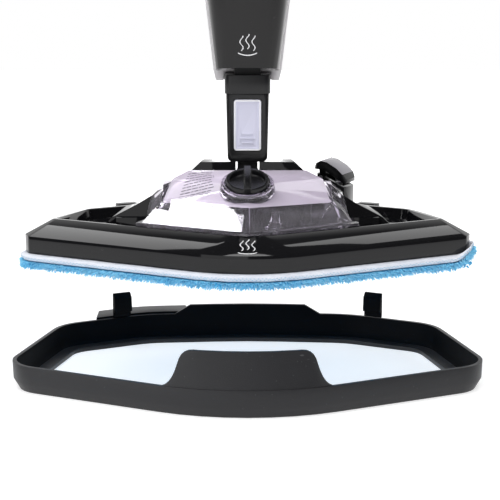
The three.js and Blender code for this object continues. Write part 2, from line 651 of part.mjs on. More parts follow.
function releaseButton() {
  const front = neck.y - neck.halfDepth;
  const faceShape = roundedRect(button.halfWidth, button.bottom, button.top, 2);
  const face = prism(faceShape, "y", front - 0.4, front + 3.6);
  const panel = prism(roundedRect(7.4, button.bottom + 2.2, button.top - 2.2, 0.8), "y", front - 2, front);
  const flangeShape = roundedRect(10.9, button.bottom - 1.1, button.top + 1.1, 1);
  const flange = prism(flangeShape, "y", front + 2.9, front + 4.2);
  const ribs = [0, 1, 2].map((i) => {
    const half = i === 1 ? 5.2 : 4;
    const low = button.bottom + 5 + i * 3.2;
    return box(-half, half, front - 0.8, front + 1, low, low + 1.1);
  });
  return join(cut(face, panel), flange, ...ribs);
}

function buttonSpring() {
  return solid(coil(3, 0.8, 16.4, 5)).rotate([-90, 0, 0]).translate([0, neck.y - neck.halfDepth + 4.5, 82.5]);
}

function neckGroup() {
  const [front, rear] = neckShells();
  const swingPin = alongY(0, neck.y - 11, neck.y + 11.4, swing.z, swing.pinRadius, 16);
  return groupOf(
    at(0, 0, hover),
    piece("tilt_knuckle", tiltKnuckle(), material.satinBlack),
    piece("swing_pin", swingPin, material.steel),
    piece("neck_front_shell", front, material.glossBlack),
    piece("neck_rear_shell", rear, material.glossBlack),
    piece("neck_collar", neckCollar(), material.satinBlack),
    piece("release_button", releaseButton(), material.buttonGrey),
    piece("button_spring", buttonSpring(), material.steel),
  );
}

// ---- steam unit, from the top of the neck's collar ----
// [height, half width, front, back]
const unitProfile = [
  [-8, 22.6, -17.6, 33],
  [0, 24.6, -19, 35],
  [52, 30.7, -21.5, 43],
  [110, 36.5, -24, 49],
  [170, 40.5, -26, 52],
  [230, 41.5, -27, 51],
  [290, 38, -26, 45],
  [335, 30, -23, 35],
  [365, 22, -20, 25],
  [unit.height, 18.5, -18.5, 20],
];

function unitRing([z, halfWidth, front, back], t) {
  const power = 2 / 2.7;
  return Array.from({ length: 24 }, (_, i) => {
    const angle = (2 * Math.PI * i) / 24 - Math.PI / 2;
    const [c, s] = [Math.cos(angle), Math.sin(angle)];
    const depth = s < 0 ? -front - t : back - t;
    return at(
      Math.sign(c) * (halfWidth - t) * Math.abs(c) ** power,
      Math.sign(s) * depth * Math.abs(s) ** power,
      z,
    );
  });
}

// The front cover is narrower than the clear tank and the cover behind it, by reveal on each side.
function unitBody(t, narrower = 0) {
  const profile = unitProfile.map(([z, half, ...rest]) => [z === -8 ? z - t : z, half - narrower, ...rest]);
  return loft(profile.map((level) => unitRing(level, t)));
}

const reveal = 2.2;
const tankSpan = { low: -6, high: 166, front: 8.6 };

function unitCovers() {
  const slopedFoot = prism([[-60, -20], [60, -20], [60, -2], [8, 1], [-19, 5.4], [-60, 9]], "x", -60, 60);
  const roomTop = box(-60, 60, -60, 60, unit.height - 2.6, 500);
  const shell = (narrower) =>
    cut(
      unitBody(0, narrower),
      cut(unitBody(unit.wall, narrower), roomTop),
      slopedFoot,
      upright(0, 0, 300, 400, 14.9),
    );
  const dialSeat = alongY(0, -40, -24.4, dial.z, dial.radius + 1, 24);
  const dialHole = alongY(0, -40, 0, dial.z, 3.25, 14);
  const lampHole = alongY(0, -40, 0, lamp.z, lamp.radius + gap, 16);
  const hookHole = alongY(0, 20, 60, hookLow.z, 4.3, 16);
  const inletHole = alongY(0, 10, 60, inlet.z, inlet.radius + gap, 16);
  const half = gap / 2;
  const front = shell(reveal).intersect(box(-60, 60, -60, unit.split - half, -20, 400));
  const floorHeight = tankSpan.high + gap;
  const rear = shell(0).intersect(box(-60, 60, unit.split + half, 60, floorHeight, 400));
  const floor = unitBody(1).intersect(box(-60, 60, unit.split + half, 60, floorHeight, floorHeight + 2.4));
  return {
    front: cut(front, dialSeat, dialHole, lampHole),
    rear: cut(join(rear, floor), hookHole, inletHole),
  };
}

const dial = { z: 214, radius: 13 };
const lamp = { z: 246, radius: 3 };
const hookLow = { z: 330 };
const inlet = { z: 352, radius: 5.4 };

function unitTank() {
  const block = (t) => box(-60, 60, tankSpan.front + t, 60, tankSpan.low + t, tankSpan.high - t);
  const collarNotch = (t) => box(-17.2 - t, 17.2 + t, 0, 15 + t, -20, 0.6 + t);
  const corner = (t) => prism([[21.6 - t, -10], [26 - t, -1.2], [60, -1.2], [60, -10]], "y", 0, 60);
  const solidTank = (t) => cut(unitBody(t).intersect(block(t)), collarNotch(t), pair(corner(t)));
  return cut(solidTank(0), solidTank(2), upright(0, 30, tankSpan.high - 5, tankSpan.high + 5, 5.2, 5.2, 16));
}

function unitCore() {
  const spigot = prism(roundedRect(9.4, -6.3, 6.7, 2), "z", -38, 7).translate([0, 0.4, 0]);
  const flange = unitBody(2.8, reveal).intersect(box(-60, 60, -60, tankSpan.front - 0.9, 6.4, 9));
  const spine = box(-13, 13, 2.4, 6, 8, 344);
  const socket = cut(upright(0, 0, 318, 377, 14.5), upright(0, 0, 342, 400, pole.radius + gap));
  const window = (z0, z1) => box(-8, 8, 0, 8, z0, z1);
  return cut(
    join(spigot, flange, spine, socket),
    window(40, 90),
    window(130, 180),
    window(250, 300),
    upright(0, 0.4, -50, 20, 3.4, 3.4, 14),
  );
}

function boilerPot() {
  const foot = upright(0, 24, 177, 183, 8, 8, 16);
  const outlet = upright(0, 24, 261, 268, 5, 4, 14);
  const pot = join(upright(0, 24, 182, 262, 15.6), foot, outlet);
  return pot;
}

const waterPump = () => join(box(-13, 13, 9, 32, 276, 304), alongY(0, 6.3, 10, 290, 4, 14));
const controlBoard = () => box(-12, 12, 0.2, 1.8, 60, 126);

function steamDial() {
  const front = -26.9;
  const knob = rod(at(0, front + 2.1, dial.z), at(0, front - 5, dial.z), dial.radius, dial.radius - 1.4, 28);
  const pointer = box(-1.6, 1.6, front - 7, front - 4, dial.z - 11, dial.z + 11);
  return join(knob, pointer, alongY(0, front, -10, dial.z, 3.2, 14));
}

const lampLens = () => alongY(0, -28.4, -22, lamp.z, lamp.radius, 16);

function cordHook(z, reach) {
  const side = [[0, -5], [16, -5], [18, -9], [18, -30], [22, -30], [23, -6], [20, 0], [0, 2]];
  return prism(side, "x", -7, 7).translate([0, reach, z]);
}

function lowerHook() {
  const place = unitRearAt(hookLow.z);
  const foot = alongY(0, place - 6, place + 3, hookLow.z, 4, 16);
  return join(cordHook(hookLow.z + 1, place + 1.6), foot);
}

// The unit's back at a height, between two levels of its profile.
function unitRearAt(z) {
  const i = unitProfile.findIndex(([level]) => level > z);
  const [z0, , , b0] = unitProfile[i - 1];
  const [z1, , , b1] = unitProfile[i];
  return THREE.MathUtils.lerp(b0, b1, (z - z0) / (z1 - z0));
}

function cordInlet() {
  const place = unitRearAt(inlet.z);
  const stem = alongY(0, place - 8, place + 4, inlet.z, inlet.radius, 16);
  const gland = join(stem, alongY(0, place + 3, place + 7, inlet.z, 7.6, 16));
  return cut(gland, alongY(0, 0, 60, inlet.z, 3.6, 14));
}

function unitGroup() {
  const covers = unitCovers();
  return [
    piece("unit_front_cover", covers.front, material.glossBlack),
    piece("unit_rear_cover", covers.rear, material.glossBlack),
    piece("unit_tank", unitTank(), material.clear),
    piece("unit_tank_plug", unitTankPlug(), material.rubber),
    piece("unit_core", unitCore(), material.innerBlack),
    piece("boiler", boilerPot(), material.steel),
    piece("water_pump", waterPump(), material.innerBlack),
    piece("control_board", controlBoard(), material.innerBlack),
    piece("steam_dial", steamDial(), material.buttonGrey),
    piece("pilot_lamp", lampLens(), material.smokeClear),
    piece("lower_cord_hook", lowerHook(), material.satinBlack),
    piece("cord_inlet", cordInlet(), material.rubber),
  ];
}

function unitTankPlug() {
  return join(
    upright(0, 30, tankSpan.high - 4, tankSpan.high - 0.1, 4.9, 4.9, 16),
    upright(0, 30, tankSpan.high - 8, tankSpan.high - 3.9, 4, 4.6, 16),
  );
}

// ---- pole and grip ----
function poleTube() {
  const outside = upright(0, 0, pole.bottom, pole.top, pole.radius, pole.radius, 32);
  return cut(outside, upright(0, 0, 340, 900, pole.bore, pole.bore, 32));
}

function poleCollar() {
  const outside = upright(0, 0, unit.height + gap, unit.height + 20, 17.5, 15.6, 28);
  const bore = pole.radius + gap;
  return cut(outside, upright(0, 0, 370, 420, bore, bore, 28));
}

// The loop of the handle, seen from the side: y across, z up.
function gripOutline(inset) {
  const shape = new THREE.Shape();
  const e = inset;
  shape.moveTo(-17 + e, grip.bottom + e);
  shape.lineTo(17 - e, grip.bottom + e);
  shape.quadraticCurveTo(19 - e, 884, 40 - e, 912);
  shape.quadraticCurveTo(54 - e, 934, 54 - e, 966);
  shape.quadraticCurveTo(54 - e, 1012, 34 - e, 1034);
  shape.quadraticCurveTo(16, grip.top - e, -8, grip.top - e);
  shape.quadraticCurveTo(-34 + e, grip.top - e, -34 + e, 1024);
  shape.quadraticCurveTo(-34 + e, 990, -22 + e, 940);
  shape.quadraticCurveTo(-18 + e, 900, -17 + e, grip.bottom + e);
  return shape;
}

function gripHole(inset) {
  const shape = new THREE.Shape();
  const e = inset;
  shape.moveTo(4 - e, 930 - e);
  shape.quadraticCurveTo(16, 914 - e, 24 + e, 938);
  shape.quadraticCurveTo(30 + e, 950, 30 + e, 970);
  shape.quadraticCurveTo(30 + e, 1002, 18, 1014 + e);
  shape.quadraticCurveTo(-8 - e, 1024 + e, -8 - e, 1000);
  shape.quadraticCurveTo(-8 - e, 970, 4 - e, 930 - e);
  return shape;
}

function gripHalf(side) {
  const halfWidth = 15;
  const low = side < 0 ? -halfWidth : gap / 2;
  const layers = [
    [halfWidth - 6, 0],
    [halfWidth - 2.5, 1.4],
    [halfWidth, 4.2],
  ];
  const whole = layers.map(([half, inset]) =>
    cut(prism(gripOutline(inset), "x", -half, half, 4), prism(gripHole(inset), "x", -half - 1, half + 1, 4)),
  );
  const poleHole = upright(0, 0, 800, pole.top + gap, pole.radius + gap, pole.radius + gap, 28);
  const triggerRoom = prism(
    [[-21, 1010], [-21, 985], [-16.6, 962], [-16.6, 946], [6, 946], [6, 1010]],
    "x",
    -6.4,
    6.4,
  );
  const springRoom = alongY(0, -20.4, -10, 962, 3.6, 16);
  const pinRoom = acrossX(-9.2, 9.2, trigger.pivotY, trigger.pivotZ, 2.05, 14);
  const hookRoom = alongY(0, -40, 0, hookHigh.z, 4.25, 16);
  const hollow = join(poleHole, triggerRoom, springRoom, pinRoom, hookRoom);
  return cut(join(...whole), hollow).intersect(box(low, low + halfWidth - gap / 2, -100, 100, 800, 1100));
}

const trigger = { pivotY: -16, pivotZ: 1002 };
const hookHigh = { z: 872 };

function steamTrigger() {
  const side = [
    [-19.5, 1006], [-12, 1006], [-5, 1000], [2.6, 990], [1.6, 974],
    [2.6, 956], [-3, 952], [-10, 954], [-14, 975], [-19.5, 996],
  ];
  const blade = prism(side, "x", -5.6, 5.6);
  return cut(blade, acrossX(-8, 8, trigger.pivotY, trigger.pivotZ, 2.05, 14));
}

const triggerPin = () => acrossX(-9, 9, trigger.pivotY, trigger.pivotZ, 2, 14);
const triggerSpring = () => solid(coil(2.4, 0.8, 6, 3)).rotate([90, 0, 0]).translate([0, -14.3, 962]);

// The upper hook turns on a stud to let the cord drop off.
function upperHook() {
  const side = [[-18, -5.5], [-18, 5.5], [-26, 5.5], [-31, 0], [-42, 34], [-46, 34], [-37, -5.5]];
  const body = prism(side, "x", -7, 7);
  return join(body.translate([0, -0.6, hookHigh.z]), alongY(0, -19.4, -14.4, hookHigh.z, 4, 16));
}

function poleGroup() {
  return [
    piece("pole_tube", poleTube(), material.aluminium),
    piece("pole_collar", poleCollar(), material.satinBlack),
    piece("grip_left", gripHalf(-1), material.satinBlack),
    piece("grip_right", gripHalf(1), material.satinBlack),
    piece("steam_trigger", steamTrigger(), material.buttonGrey),
    piece("trigger_pin", triggerPin(), material.steel),
    piece("trigger_spring", triggerSpring(), material.steel),
    piece("upper_cord_hook", upperHook(), material.satinBlack),
  ];
}

// ---- assembly ----
const mop = new THREE.Group();
mop.add(gliderGroup(), headGroup(), tankGroup(), neckGroup());
mop.add(groupOf(at(0, neck.y, hover + collar.top + gap), ...unitGroup(), ...poleGroup()));

// The origin is on the floor, under the middle of the whole object.
const extent = new THREE.Box3().setFromObject(mop, true);
mop.position.y = -(extent.min.y + extent.max.y) / 2;
mop.position.x = -(extent.min.x + extent.max.x) / 2;
export default mop;
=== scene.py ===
# Steam mop: the looks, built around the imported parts. Metres, +Z up, +Y to the back of the mop.
import json
import math
import random

import bpy
import numpy as np
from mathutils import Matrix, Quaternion, Vector
from mathutils.bvhtree import BVHTree
from mathutils.noise import noise


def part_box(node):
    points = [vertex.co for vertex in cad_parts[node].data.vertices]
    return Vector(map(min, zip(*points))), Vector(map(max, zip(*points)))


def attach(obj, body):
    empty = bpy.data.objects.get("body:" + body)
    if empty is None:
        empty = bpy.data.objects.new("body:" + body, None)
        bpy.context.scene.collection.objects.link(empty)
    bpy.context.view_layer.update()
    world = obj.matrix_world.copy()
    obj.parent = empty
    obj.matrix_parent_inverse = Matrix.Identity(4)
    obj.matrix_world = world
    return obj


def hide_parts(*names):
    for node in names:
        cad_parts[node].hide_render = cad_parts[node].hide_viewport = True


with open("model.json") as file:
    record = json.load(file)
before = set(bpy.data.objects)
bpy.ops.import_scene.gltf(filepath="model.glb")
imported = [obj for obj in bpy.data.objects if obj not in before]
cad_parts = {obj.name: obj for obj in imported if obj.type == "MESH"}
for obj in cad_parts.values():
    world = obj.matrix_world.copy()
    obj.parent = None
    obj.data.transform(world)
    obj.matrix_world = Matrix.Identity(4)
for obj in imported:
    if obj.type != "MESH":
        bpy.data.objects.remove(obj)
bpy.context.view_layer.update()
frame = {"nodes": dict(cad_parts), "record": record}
nodes = frame["nodes"]
record = frame["record"]
slotOf = {entry["node"]: entry["material_slot"] for entry in record["subparts"]}
bodyOf = {node: body for body, members in record["behaviour"]["bodies"].items() for node in members}
print("parts loaded:", len(nodes))


def deselectAll():
    if bpy.context.mode != "OBJECT":
        bpy.ops.object.mode_set(mode="OBJECT")
    bpy.ops.object.select_all(action="DESELECT")


def makeActive(piece):
    deselectAll()
    piece.select_set(True)
    bpy.context.view_layer.objects.active = piece


def applyPlace(piece):
    makeActive(piece)
    bpy.ops.object.transform_apply(location=True, rotation=True, scale=True)


def applyModifiers(piece):
    makeActive(piece)
    for modifier in list(piece.modifiers):
        bpy.ops.object.modifier_apply(modifier=modifier.name)


def editAll(piece):
    makeActive(piece)
    bpy.ops.object.mode_set(mode="EDIT")
    bpy.ops.mesh.select_all(action="SELECT")


def backToObject():
    bpy.ops.object.mode_set(mode="OBJECT")


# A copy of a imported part, its loose triangles merged and its flat faces made whole again.
def shellFrom(node, name):
    piece = bpy.data.objects.new(name, nodes[node].data.copy())
    bpy.context.scene.collection.objects.link(piece)
    piece.data.materials.clear()
    editAll(piece)
    bpy.ops.mesh.remove_doubles(threshold=0.00003)
    bpy.ops.mesh.dissolve_limited(angle_limit=math.radians(0.6))
    backToObject()
    return piece


# Rounds the edges sharper than the angle, and shades the rest smoothly.
def roundEdges(piece, width, segments=2, angle=35, smooth=40):
    bevel = piece.modifiers.new("roundEdges", "BEVEL")
    bevel.width = width
    bevel.segments = segments
    bevel.limit_method = "ANGLE"
    bevel.angle_limit = math.radians(angle)
    bevel.use_clamp_overlap = True
    bevel.miter_outer = "MITER_ARC"
    applyModifiers(piece)
    makeActive(piece)
    bpy.ops.object.shade_smooth_by_angle(angle=math.radians(smooth))


def finishPiece(piece, materials, body, slotName, *replaced):
    piece.data.materials.clear()
    for material in materials:
        piece.data.materials.append(material)
    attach(piece, body)
    if replaced:
        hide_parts(*replaced)
    return piece


studio = {
    "cameraPlace": (0, -1.1777, 0.338),
    "cameraPitch": 11.85,
    "sensor": 36,
    "lens": 120.1,
    "shiftX": 0.005,
    "sight": 50,
    "backdropGlow": 0.95,  # what glossy parts see behind the mop
    "roomGlow": 0.1,  # what they see in front and overhead
    "floorGlow": 0.62,
    "farGlow": 1.02,  # the floor's glow behind the mop, where less light falls on it
    "farRange": (0.1, 0.75),
    "behindRange": (0.0, 0.25),  # how far back a direction points as the sweep fades in
    "heightRange": (0.72, 0.5),  # how high it points as the sweep fades in below
    "floorPlace": (0, 0.2, 0),
    "floorSize": (5.0, 4.0, 1),
    "floorPaint": (0.6, 0.6, 0.606, 1),
    "floorRoughness": 0.8,
}
white = (1, 1, 1, 1)

cameraData = bpy.data.cameras.new("camera")
cameraData.sensor_width = studio["sensor"]
cameraData.lens = studio["lens"]
cameraData.shift_x = studio["shiftX"]
cameraData.clip_end = studio["sight"]
camera = bpy.data.objects.new("camera", cameraData)
camera.location = studio["cameraPlace"]
camera.rotation_euler = (math.radians(90 - studio["cameraPitch"]), 0, 0)
bpy.context.scene.collection.objects.link(camera)
bpy.context.scene.camera = camera
bpy.context.scene.view_settings.view_transform = "Standard"


# White straight to the camera; to the parts, a white sweep low behind and a dim room elsewhere.
def makeWorld():
    world = bpy.data.worlds.new("studioWorld")
    bpy.context.scene.world = world
    world.use_nodes = True
    tree = world.node_tree
    link = tree.links.new
    room = tree.nodes["Background"]
    seen = tree.nodes.new("ShaderNodeBackground")
    lightPath = tree.nodes.new("ShaderNodeLightPath")
    direction = tree.nodes.new("ShaderNodeTexCoord")
    split = tree.nodes.new("ShaderNodeSeparateXYZ")
    behind = tree.nodes.new("ShaderNodeMapRange")
    low = tree.nodes.new("ShaderNodeMapRange")
    both = tree.nodes.new("ShaderNodeMath")
    level = tree.nodes.new("ShaderNodeMapRange")
    mix = tree.nodes.new("ShaderNodeMixShader")
    behind.inputs["From Min"].default_value, behind.inputs["From Max"].default_value = studio["behindRange"]
    low.inputs["From Min"].default_value, low.inputs["From Max"].default_value = studio["heightRange"]
    both.operation = "MULTIPLY"
    level.inputs["To Min"].default_value = studio["roomGlow"]
    level.inputs["To Max"].default_value = studio["backdropGlow"]
    link(direction.outputs["Generated"], split.inputs["Vector"])
    link(split.outputs["Y"], behind.inputs["Value"])
    link(split.outputs["Z"], low.inputs["Value"])
    link(behind.outputs["Result"], both.inputs[0])
    link(low.outputs["Result"], both.inputs[1])
    link(both.outputs[0], level.inputs["Value"])
    link(level.outputs["Result"], room.inputs["Strength"])
    room.inputs["Color"].default_value = white
    seen.inputs["Color"].default_value = white
    link(lightPath.outputs["Is Camera Ray"], mix.inputs["Fac"])
    link(room.outputs["Background"], mix.inputs[1])
    link(seen.outputs["Background"], mix.inputs[2])
    link(mix.outputs["Shader"], tree.nodes["World Output"].inputs["Surface"])


def makeFloor():
    deselectAll()
    bpy.ops.mesh.primitive_plane_add(size=1, location=studio["floorPlace"])
    floor = bpy.context.active_object
    floor.name = "floor"
    floor.scale = studio["floorSize"]
    applyPlace(floor)
    paint = bpy.data.materials.new("floorPaint")
    paint.use_nodes = True
    tree = paint.node_tree
    shader = tree.nodes["Principled BSDF"]
    shader.inputs["Base Color"].default_value = studio["floorPaint"]
    shader.inputs["Roughness"].default_value = studio["floorRoughness"]
    shader.inputs["Specular IOR Level"].default_value = 0.0
    shader.inputs["Emission Color"].default_value = white
    where = tree.nodes.new("ShaderNodeTexCoord")
    split = tree.nodes.new("ShaderNodeSeparateXYZ")
    glow = tree.nodes.new("ShaderNodeMapRange")
    glow.inputs["From Min"].default_value, glow.inputs["From Max"].default_value = studio["farRange"]
    glow.inputs["To Min"].default_value = studio["floorGlow"]
    glow.inputs["To Max"].default_value = studio["farGlow"]
    tree.links.new(where.outputs["Object"], split.inputs["Vector"])
    tree.links.new(split.outputs["Y"], glow.inputs["Value"])
    tree.links.new(glow.outputs["Result"], shader.inputs["Emission Strength"])
    floor.data.materials.append(paint)


# An area light at a place, facing a target. Glow is its brightness as a reflection shows it.
def softbox(name, place, target, width, height, glow):
    data = bpy.data.lights.new(name, "AREA")
    data.shape = "RECTANGLE"
    data.size = width
    data.size_y = height
    data.energy = glow * math.pi * width * height
    lamp = bpy.data.objects.new(name, data)
    lamp.location = place
    lamp.rotation_euler = (Vector(target) - Vector(place)).to_track_quat("-Z", "Y").to_euler()
    bpy.context.scene.collection.objects.link(lamp)
    return lamp


makeWorld()
makeFloor()
# light: (place, target, width, height, glow)
softboxes = {
    "slopeBoxLeft": ((-0.85, 0.75, 1.55), (-0.05, -0.05, 0.12), 0.95, 0.7, 3.4),
    "slopeBoxRight": ((0.78, 0.95, 1.6), (0.1, -0.05, 0.12), 0.5, 0.6, 2.6),
    "topBox": ((0.0, -0.55, 2.3), (0, -0.05, 0.1), 1.8, 0.9, 5.5),
    "frontCard": ((-1.51, -3.2, 0.2), (-1.51, 0, 0.2), 3.1, 2.2, 1.05),
    "edgeBoxLeft": ((-1.3, -0.65, 1.6), (0, 0, 0.1), 0.5, 0.9, 4.5),
    "tankBox": ((-0.55, 0.62, 1.15), (-0.03, -0.07, 0.13), 0.8, 0.7, 11),
    "gliderBox": ((-1.83, -1.23, 0.55), (0, 0, 0.03), 1.0, 0.9, 3.5),
    "fill": ((0.25, -2.2, 1.5), (0, 0, 0.15), 1.6, 1.2, 3.2),
}
lamps = {name: softbox(name, *values) for name, values in softboxes.items()}
lamps["fill"].visible_glossy = False
print("camera, floor and light set")


def newGroup(name, inputs, outputs):
    group = bpy.data.node_groups.new(name, "ShaderNodeTree")
    for label, value in inputs:
        socket = group.interface.new_socket(name=label, in_out="INPUT", socket_type="NodeSocketFloat")
        socket.default_value = value
    for label in outputs:
        group.interface.new_socket(name=label, in_out="OUTPUT", socket_type="NodeSocketFloat")
    return group, group.nodes.new("NodeGroupInput"), group.nodes.new("NodeGroupOutput")


def mathNode(group, operation, first, second):
    node = group.nodes.new("ShaderNodeMath")
    node.operation = operation
    for socket, value in zip(node.inputs, (first, second)):
        if isinstance(value, (int, float)):
            socket.default_value = value
        else:
            group.links.new(value, socket)
    return node.outputs[0]


textures = {
    "slowScale": 14,
    "speckRadius": 0.1,
    "speckRarity": 0.88,
    "hairTurn": (0.3, 0.5, 0.9),
    "hairStretch": (14, 420, 420),
    "hairRange": (0.84, 0.88),
    "fuzzScale": 2600,
    "fuzzShare": 0.4,
}


# Fine mould texture as a height, and a roughness that wanders slowly.
def makeMouldGrain():
    inputs = [("Scale", 900.0), ("Roughness", 0.4), ("Spread", 0.08)]
    group, entry, leave = newGroup("mouldGrain", inputs, ["Height", "Roughness"])
    link = group.links.new
    where = group.nodes.new("ShaderNodeTexCoord")
    fine = group.nodes.new("ShaderNodeTexNoise")
    fine.inputs["Detail"].default_value = 2
    link(where.outputs["Object"], fine.inputs["Vector"])
    link(entry.outputs["Scale"], fine.inputs["Scale"])
    slow = group.nodes.new("ShaderNodeTexNoise")
    slow.inputs["Scale"].default_value = textures["slowScale"]
    slow.inputs["Detail"].default_value = 4
    link(where.outputs["Object"], slow.inputs["Vector"])
    centred = mathNode(group, "SUBTRACT", slow.outputs["Fac"], 0.5)
    spread = mathNode(group, "MULTIPLY", centred, entry.outputs["Spread"])
    link(mathNode(group, "ADD", spread, entry.outputs["Roughness"]), leave.inputs["Roughness"])
    link(fine.outputs["Fac"], leave.inputs["Height"])
    return group


# Dust specks and hair scratches, as one mask.
def makeWearMarks():
    group, entry, leave = newGroup("wearMarks", [("Specks", 360.0), ("Amount", 0.5)], ["Mask"])
    link = group.links.new
    where = group.nodes.new("ShaderNodeTexCoord")
    cells = group.nodes.new("ShaderNodeTexVoronoi")
    link(where.outputs["Object"], cells.inputs["Vector"])
    link(entry.outputs["Specks"], cells.inputs["Scale"])
    pick = group.nodes.new("ShaderNodeSeparateColor")
    link(cells.outputs["Color"], pick.inputs["Color"])
    dots = mathNode(group, "LESS_THAN", cells.outputs["Distance"], textures["speckRadius"])
    rare = mathNode(group, "GREATER_THAN", pick.outputs["Red"], textures["speckRarity"])
    specks = mathNode(group, "MULTIPLY", dots, rare)
    turn = group.nodes.new("ShaderNodeMapping")
    turn.inputs["Rotation"].default_value = textures["hairTurn"]
    turn.inputs["Scale"].default_value = textures["hairStretch"]
    link(where.outputs["Object"], turn.inputs["Vector"])
    hairs = group.nodes.new("ShaderNodeTexNoise")
    hairs.inputs["Scale"].default_value = 1
    hairs.inputs["Detail"].default_value = 0
    link(turn.outputs["Vector"], hairs.inputs["Vector"])
    scratch = group.nodes.new("ShaderNodeMapRange")
    scratch.inputs["From Min"].default_value, scratch.inputs["From Max"].default_value = textures["hairRange"]
    link(hairs.outputs["Fac"], scratch.inputs["Value"])
    both = mathNode(group, "MAXIMUM", specks, scratch.outputs["Result"])
    link(mathNode(group, "MULTIPLY", both, entry.outputs["Amount"]), leave.inputs["Mask"])
    return group


# Knit loops as a height, and soft patches for the colour.
def makeKnit():
    group, entry, leave = newGroup("knit", [("Loops", 700.0), ("Patches", 60.0)], ["Height", "Patch"])
    link = group.links.new
    where = group.nodes.new("ShaderNodeTexCoord")
    loops = group.nodes.new("ShaderNodeTexVoronoi")
    link(where.outputs["Object"], loops.inputs["Vector"])
    link(entry.outputs["Loops"], loops.inputs["Scale"])
    fuzz = group.nodes.new("ShaderNodeTexNoise")
    fuzz.inputs["Scale"].default_value = textures["fuzzScale"]
    link(where.outputs["Object"], fuzz.inputs["Vector"])
    patch = group.nodes.new("ShaderNodeTexNoise")
    patch.inputs["Detail"].default_value = 5
    link(where.outputs["Object"], patch.inputs["Vector"])
    link(entry.outputs["Patches"], patch.inputs["Scale"])
    rounded = mathNode(group, "SUBTRACT", 1.0, loops.outputs["Distance"])
    fuzzy = mathNode(group, "MULTIPLY", fuzz.outputs["Fac"], textures["fuzzShare"])
    link(mathNode(group, "ADD", rounded, fuzzy), leave.inputs["Height"])
    link(patch.outputs["Fac"], leave.inputs["Patch"])
    return group


mouldGrain = makeMouldGrain()
wearMarks = makeWearMarks()
knit = makeKnit()


def addBump(tree, shader, height, strength, distance):
    bump = tree.nodes.new("ShaderNodeBump")
    bump.inputs["Strength"].default_value = strength
    bump.inputs["Distance"].default_value = distance
    tree.links.new(height, bump.inputs["Height"])
    tree.links.new(bump.outputs["Normal"], shader.inputs["Normal"])


# Moulded plastic: grain, a wandering roughness, and specks in another tone.
def plastic(name, color, roughness, grain=(900, 0.0), spread=0.05, marks=0.2, markTone=0.25, specular=0.35):
    material = bpy.data.materials.new(name)
    material.use_nodes = True
    tree = material.node_tree
    link = tree.links.new
    shader = tree.nodes["Principled BSDF"]
    shader.inputs["Specular IOR Level"].default_value = specular
    texture = tree.nodes.new("ShaderNodeGroup")
    texture.node_tree = mouldGrain
    texture.inputs["Scale"].default_value = grain[0]
    texture.inputs["Roughness"].default_value = roughness
    texture.inputs["Spread"].default_value = spread
    link(texture.outputs["Roughness"], shader.inputs["Roughness"])
    if grain[1]:
        addBump(tree, shader, texture.outputs["Height"], grain[1], 0.0004)
    wear = tree.nodes.new("ShaderNodeGroup")
    wear.node_tree = wearMarks
    wear.inputs["Amount"].default_value = marks
    mix = tree.nodes.new("ShaderNodeMix")
    mix.data_type = "RGBA"
    mix.inputs["A"].default_value = (*color, 1)
    mix.inputs["B"].default_value = (markTone, markTone, markTone * 1.02, 1)
    link(wear.outputs["Mask"], mix.inputs["Factor"])
    link(mix.outputs["Result"], shader.inputs["Base Color"])
    return material


def metal(name, color, roughness):
    material = plastic(name, color, roughness, (700, 0.05), 0.1, 0.1, 0.3, 0.5)
    material.node_tree.nodes["Principled BSDF"].inputs["Metallic"].default_value = 1
    return material


# Clear moulded plastic. Milk is the share of it that is cloudy.
def clearPlastic(name, color, roughness, milk):
    material = bpy.data.materials.new(name)
    material.use_nodes = True
    tree = material.node_tree
    shader = tree.nodes["Principled BSDF"]
    shader.inputs["Base Color"].default_value = (*color, 1)
    shader.inputs["Transmission Weight"].default_value = 1 - milk
    shader.inputs["IOR"].default_value = 1.46
    texture = tree.nodes.new("ShaderNodeGroup")
    texture.node_tree = mouldGrain
    texture.inputs["Scale"].default_value = 90
    texture.inputs["Roughness"].default_value = roughness
    texture.inputs["Spread"].default_value = 0.04
    tree.links.new(texture.outputs["Roughness"], shader.inputs["Roughness"])
    return material


def cloth(name, color, patchColor, loops, depth, sheen=0.2):
    material = bpy.data.materials.new(name)
    material.use_nodes = True
    tree = material.node_tree
    shader = tree.nodes["Principled BSDF"]
    shader.inputs["Roughness"].default_value = 0.95
    shader.inputs["Specular IOR Level"].default_value = 0.1
    shader.inputs["Sheen Weight"].default_value = sheen
    weave = tree.nodes.new("ShaderNodeGroup")
    weave.node_tree = knit
    weave.inputs["Loops"].default_value = loops
    mix = tree.nodes.new("ShaderNodeMix")
    mix.data_type = "RGBA"
    mix.inputs["A"].default_value = (*color, 1)
    mix.inputs["B"].default_value = (*patchColor, 1)
    tree.links.new(weave.outputs["Patch"], mix.inputs["Factor"])
    tree.links.new(mix.outputs["Result"], shader.inputs["Base Color"])
    addBump(tree, shader, weave.outputs["Height"], depth, 0.0006)
    return material


